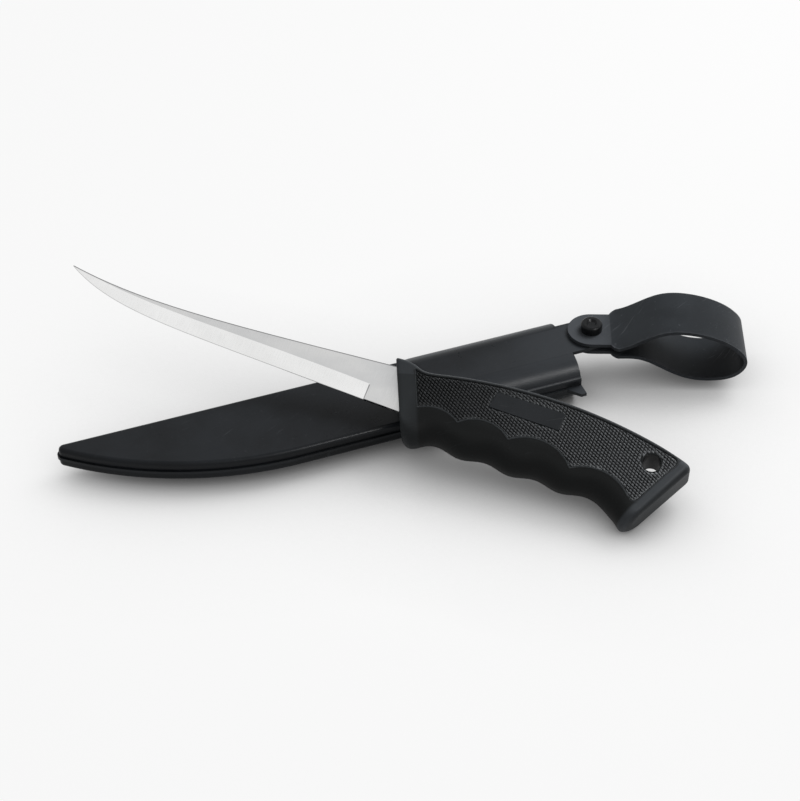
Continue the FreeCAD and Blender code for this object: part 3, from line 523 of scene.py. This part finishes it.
# Checkering: rows of blunt pyramids in the recessed panels, clear of the lanyard hole and the plate
CHECKER_ROW = Vector((1.53, -0.735))
CHECKER_RISE = Vector((0, 1.333))
CHECKER_CELL = CHECKER_ROW.x * CHECKER_RISE.y
CHECKER_MIDDLE = Vector((60, 0))
CHECKER_COUNT = 75
CHECKER_GAP = 0.35
CHECKER_CORNER = 0.3
CHECKER_HEIGHT = 0.52
CHECKER_STEPS = [(0.84, 0.7, 0.5), (0.4, 0.16, 1.0)]
CHECKER_VALLEY = 0.04
CHECKER_SUNK = 0.2
SMALLEST_CELL = 0.12
HOLE_MARGIN = 0.5
PLATE_CORNERS = [Vector((43.0, 10.1)), Vector((74.0, 10.4)), Vector((73.8, 2.0)), Vector((41.3, 2.3))]
PLATE_TOP = 0.68
PLATE_ROUND = 0.5
PLATE_CORNER = 0.8


def cell_area(corners):
    """Area of a cell, from its corners in order."""
    total = 0
    for here, there in zip(corners, corners[1:] + corners[:1]):
        total += here.x * there.y - here.y * there.x
    return total / 2


def without_repeats(loop):
    """The loop's corners, each run of the same corner as one."""
    return [corner for n, corner in enumerate(loop) if corner != loop[n - 1]]


def numbered(cells, spots):
    """A number for each place where corners of the cells lie, and each corner's number."""
    places = {}
    number_of = {}
    for corner in sorted({corner for ids, _ in cells for corner in ids}):
        place = (round(spots[corner].x, 3), round(spots[corner].y, 3))
        number_of[corner] = places.setdefault(place, len(places))
    return places, number_of


def unpinched(cells, number_of):
    """The cells without the small ones that meet the rest at one corner only."""
    while True:
        uses = {}
        for ids, _ in cells:
            base = [number_of[corner] for corner in ids]
            for n in range(4):
                if base[n] != base[n - 1]:
                    edge = frozenset((base[n], base[n - 1]))
                    uses[edge] = uses.get(edge, 0) + 1
        ends = {}
        for edge, count in uses.items():
            if count == 1:
                for place in edge:
                    ends[place] = ends.get(place, 0) + 1
        pinched = {place for place, count in ends.items() if count > 2}
        touching = [cell for cell in cells if any(number_of[corner] in pinched for corner in cell[0])]
        if not touching:
            return cells
        cells.remove(min(touching, key=lambda cell: cell[1]))


def checkering(name, side, plate):
    """One face's checkering, a closed mesh sunk a little into the panel's floor."""
    outline = rounded(panel_outline(CHECKER_GAP), PANEL_CORNER - CHECKER_GAP, CHECKER_CORNER)
    ring = HOLE_RADIUS + HOLE_MARGIN
    hole = Vector((HOLE_U, HOLE_W))
    spots = {}

    def grid(i, j):
        return CHECKER_MIDDLE + CHECKER_ROW * i + CHECKER_RISE * j

    def spot(i, j):
        if (i, j) not in spots:
            point = grid(i, j)
            if not inside(point, outline):
                point = nearest(point, outline)
            if plate and inside(point, plate):
                point = nearest(point, plate)
            reach = point - hole
            if reach.length < ring:
                point = hole + reach.normalized() * ring
            spots[i, j] = point
        return spots[i, j]

    cells = []
    for i in range(-CHECKER_COUNT, CHECKER_COUNT):
        for j in range(-CHECKER_COUNT, CHECKER_COUNT):
            centre = grid(i + 0.5, j + 0.5)
            if (plate and inside(centre, plate)) or (centre - hole).length < ring:
                continue
            ids = [(i, j), (i + 1, j), (i + 1, j + 1), (i, j + 1)]
            share = cell_area([spot(*c) for c in ids]) / CHECKER_CELL
            if share > SMALLEST_CELL:
                cells.append((ids, share))
    cells = unpinched(cells, numbered(cells, spots)[1])
    places, floor_of = numbered(cells, spots)
    points = [at(*place, side * (PANEL_FLOOR + CHECKER_VALLEY)) for place in places]
    below = len(points)
    points += [at(*place, side * (PANEL_FLOOR - CHECKER_SUNK)) for place in places]
    faces = []
    edges = {}
    for ids, share in cells:
        corners = [spots[c] for c in ids]
        centre = sum(corners, Vector((0, 0))) / 4
        height = CHECKER_HEIGHT * min(math.sqrt(share), 1)
        base = [floor_of[c] for c in ids]
        faces.append(without_repeats([n + below for n in reversed(base)]))
        for n in range(4):
            m = (n + 1) % 4
            if base[n] != base[m]:
                edge = frozenset((base[n], base[m]))
                edges.setdefault(edge, []).append((base[n], base[m]))
        row = (corners[1] + corners[2] - corners[0] - corners[3]) / 4
        rise = (corners[2] + corners[3] - corners[0] - corners[1]) / 4
        for along_row, across_row, lift in CHECKER_STEPS:
            tips = [len(points) + n for n in range(4)]
            for a, b in ((-1, -1), (1, -1), (1, 1), (-1, 1)):
                tip = centre + row * along_row * a + rise * across_row * b
                points.append(at(tip.x, tip.y, side * (PANEL_FLOOR + CHECKER_VALLEY + height * lift)))
            for n in range(4):
                m = (n + 1) % 4
                faces.append(without_repeats([base[n], base[m], tips[m], tips[n]]))
            base = tips
        faces.append(base)
    for uses in edges.values():
        if len(uses) == 1:
            n, m = uses[0]
            faces.append([m, n, n + below, m + below])
    if side < 0:
        faces = [face[::-1] for face in faces]
    add_piece(name, points, faces, "knife", CHECKER)


checkering("checkering_upper", 1, PLATE_CORNERS)
checkering("checkering_lower", -1, None)


# Rims, the plate and the hole's edges
def tube(name, path, radius, material, sides=10):
    """A bead along a closed path of points in the knife's own axes, square to it in cross-section."""
    points = []
    faces = []
    count = len(path)
    up = Vector((0, 0, 1))
    for n, here in enumerate(path):
        ahead = (path[(n + 1) % count] - path[n - 1]).normalized()
        side = up.cross(ahead).normalized()
        lift = ahead.cross(side)
        for k in range(sides):
            angle = 2 * math.pi * k / sides
            spot = here + (side * math.cos(angle) + lift * math.sin(angle)) * radius
            points.append(at(*spot))
        for k in range(sides):
            m = (n + 1) % count
            after = (k + 1) % sides
            faces.append([n * sides + k, n * sides + after, m * sides + after, m * sides + k])
    add_piece(name, points, faces, "knife", material, smooth=True)


RIM_RADIUS = 0.5
RIM_OUT = 0.3
RIM_SUNK = 0.26
RIM_CORNER = 0.7
rim_line = rounded(panel_outline(-RIM_OUT), PANEL_CORNER + RIM_OUT, RIM_CORNER)
for label, side in (("upper", 1), ("lower", -1)):
    path = []
    for spot in rim_line:
        level = grip_level(spot.x, spot.y, side)
        path.append(Vector((spot.x, spot.y, level - side * RIM_SUNK)))
    tube("panel_rim_" + label, path, RIM_RADIUS, RIM)


def lathe(name, u, w, side, profile, material, segments=64):
    """A closed ring turned about a line square to the knife, from (radius, height) corners."""
    points = []
    faces = []
    count = len(profile)
    for n in range(segments):
        angle = 2 * math.pi * n / segments
        for radius, level in profile:
            points.append(at(u + radius * math.cos(angle), w + radius * math.sin(angle), side * level))
        m = (n + 1) % segments
        for k in range(count):
            after = (k + 1) % count
            faces.append([n * count + k, m * count + k, m * count + after, n * count + after])
    if side > 0:
        faces = [face[::-1] for face in faces]
    add_piece(name, points, faces, "knife", material, smooth=True)


RING_WIDTH = 0.45
RING_INNER = HOLE_RADIUS + 0.02
RING_SUNK = 0.2
RING_FOOT = 0.1
RING_CROWN = 0.2
RING_STEPS = 8
ring_profile = [(RING_INNER, PANEL_FLOOR - RING_SUNK)]
for step in range(RING_STEPS + 1):
    angle = math.pi * step / RING_STEPS
    ring_profile.append((
        RING_INNER + RING_WIDTH / 2 * (1 - math.cos(angle)),
        PANEL_FLOOR + RING_FOOT + RING_CROWN * math.sin(angle),
    ))
ring_profile.append((RING_INNER + RING_WIDTH, PANEL_FLOOR - RING_SUNK))
for label, side in (("upper", 1), ("lower", -1)):
    lathe("lanyard_ring_" + label, HOLE_U, HOLE_W, side, ring_profile, GRIP)


def plate_piece(name, corners, base, top, bevel, material, steps=4):
    """Bare smooth plate with soft edges and corners."""
    outline = rounded(corners, PLATE_CORNER, PLATE_CORNER)
    count = len(outline)
    centre = sum(outline, Vector((0, 0))) / count
    points = []
    levels = [(base, 0.0)]
    for step in range(steps + 1):
        angle = math.pi / 2 * step / steps
        levels.append((top - bevel + bevel * math.sin(angle), bevel * (1 - math.cos(angle))))
    for level, inset in levels:
        for spot in outline:
            inner = spot - (spot - centre).normalized() * inset
            points.append(at(inner.x, inner.y, level))
    faces = []
    for ring in range(len(levels) - 1):
        for k in range(count):
            m = (k + 1) % count
            a, b = ring * count, (ring + 1) * count
            faces.append([a + m, a + k, b + k, b + m])
    faces.append(list(range(count)))
    last = (len(levels) - 1) * count
    faces.append([last + n for n in reversed(range(count))])
    add_piece(name, points, faces, "knife", material)


plate_piece(
    "grip_plate", PLATE_CORNERS, PANEL_FLOOR - CHECKER_SUNK, PANEL_FLOOR + PLATE_TOP, PLATE_ROUND, PLATE,
)

# Floor and studio
BACKGROUND = 0.93
FLOOR_GLOW = 1.06
FLOOR_GLOW_SHARE = 0.84
FLOOR_PAPER = (0.45, 0.45, 0.45, 1)
FLOOR_HALF = 4.0
FLOOR_LEVEL = -0.0002
SHADE_REACH = 0.08
SHADE_DEPTH = 1.6


def seen_directly(tree):
    """1 for camera, glossy and transmission rays."""
    path = tree.nodes.new("ShaderNodeLightPath")
    share = maths(tree, "MAXIMUM", path.outputs["Is Camera Ray"], path.outputs["Is Glossy Ray"])
    return maths(tree, "MAXIMUM", share, path.outputs["Is Transmission Ray"])


floor_material, tree = new_material("floor_paper")
tree.nodes.remove(tree.nodes["Principled BSDF"])
paper = node(tree, "ShaderNodeBsdfDiffuse", Color=FLOOR_PAPER)
glow = node(tree, "ShaderNodeEmission", Color=(1, 1, 1, 1), Strength=FLOOR_GLOW)
occlusion = node(tree, "ShaderNodeAmbientOcclusion", Distance=SHADE_REACH)
openness = maths(tree, "POWER", occlusion.outputs["AO"], SHADE_DEPTH)
blend = tree.nodes.new("ShaderNodeMixShader")
glowing = maths(tree, "MULTIPLY", seen_directly(tree), maths(tree, "MULTIPLY", openness, FLOOR_GLOW_SHARE))
link(tree, glowing, blend.inputs[0])
link(tree, paper.outputs[0], blend.inputs[1])
link(tree, glow.outputs[0], blend.inputs[2])
link(tree, blend.outputs[0], tree.nodes["Material Output"].inputs["Surface"])
floor_mesh = bpy.data.meshes.new("floor")
floor_signs = [(-1, -1), (1, -1), (1, 1), (-1, 1)]
floor_corners = [(x * FLOOR_HALF, y * FLOOR_HALF, FLOOR_LEVEL) for x, y in floor_signs]
floor_mesh.from_pydata(floor_corners, [], [(0, 1, 2, 3)])
floor_mesh.materials.append(floor_material)
floor = bpy.data.objects.new("floor", floor_mesh)
bpy.context.scene.collection.objects.link(floor)

WORLD_FILL = 0.25
world = bpy.data.worlds.new("studio")
bpy.context.scene.world = world
world.use_nodes = True
tree = world.node_tree
background = tree.nodes["Background"]
background.inputs["Color"].default_value = (1, 1, 1, 1)
level = maths(tree, "MULTIPLY", seen_directly(tree), BACKGROUND - WORLD_FILL)
link(tree, maths(tree, "ADD", level, WORLD_FILL), background.inputs["Strength"])


def softbox(name, place, aim, width, height, power):
    """A rectangular lamp at a place, turned to its aim."""
    lamp = bpy.data.lights.new(name, "AREA")
    lamp.shape = "RECTANGLE"
    lamp.size = width
    lamp.size_y = height
    lamp.energy = power
    holder = bpy.data.objects.new(name, lamp)
    holder.location = place
    holder.rotation_euler = (Vector(aim) - Vector(place)).to_track_quat("-Z", "Y").to_euler()
    bpy.context.scene.collection.objects.link(holder)
    return holder


key = softbox("key", (0.45, -0.73, 0.88), (0.03, -0.02, 0.01), 0.5, 0.25, 8.0)
key.visible_diffuse = False
top = softbox("top", (0.6, 0.2, 0.7), (0, 0, 0), 0.5, 0.5, 7.5)
top.visible_glossy = False

# Camera, at the photograph's viewing angle
VIEW_TURN = math.radians(-20.5)
VIEW_RISE = math.radians(42)
TARGET_FROM_MOUTH = Vector((-75.6, 11.0, 0)) * MM
CAMERA_DISTANCE = 1.0
FOCAL_PIXELS = 2200
FRAME_PIXELS = 801
SENSOR = 36
look = Vector((
    -math.sin(VIEW_TURN) * math.cos(VIEW_RISE),
    math.cos(VIEW_TURN) * math.cos(VIEW_RISE),
    -math.sin(VIEW_RISE),
))
camera = bpy.data.cameras.new("camera")
camera.sensor_width = SENSOR
camera.lens = SENSOR * FOCAL_PIXELS / FRAME_PIXELS
camera.clip_start = 0.01
camera.clip_end = 100
holder = bpy.data.objects.new("camera", camera)
holder.location = mouth + TARGET_FROM_MOUTH - look * CAMERA_DISTANCE
holder.rotation_euler = look.to_track_quat("-Z", "Y").to_euler()
bpy.context.scene.collection.objects.link(holder)
bpy.context.scene.camera = holder
bpy.context.scene.view_settings.view_transform = "Standard"
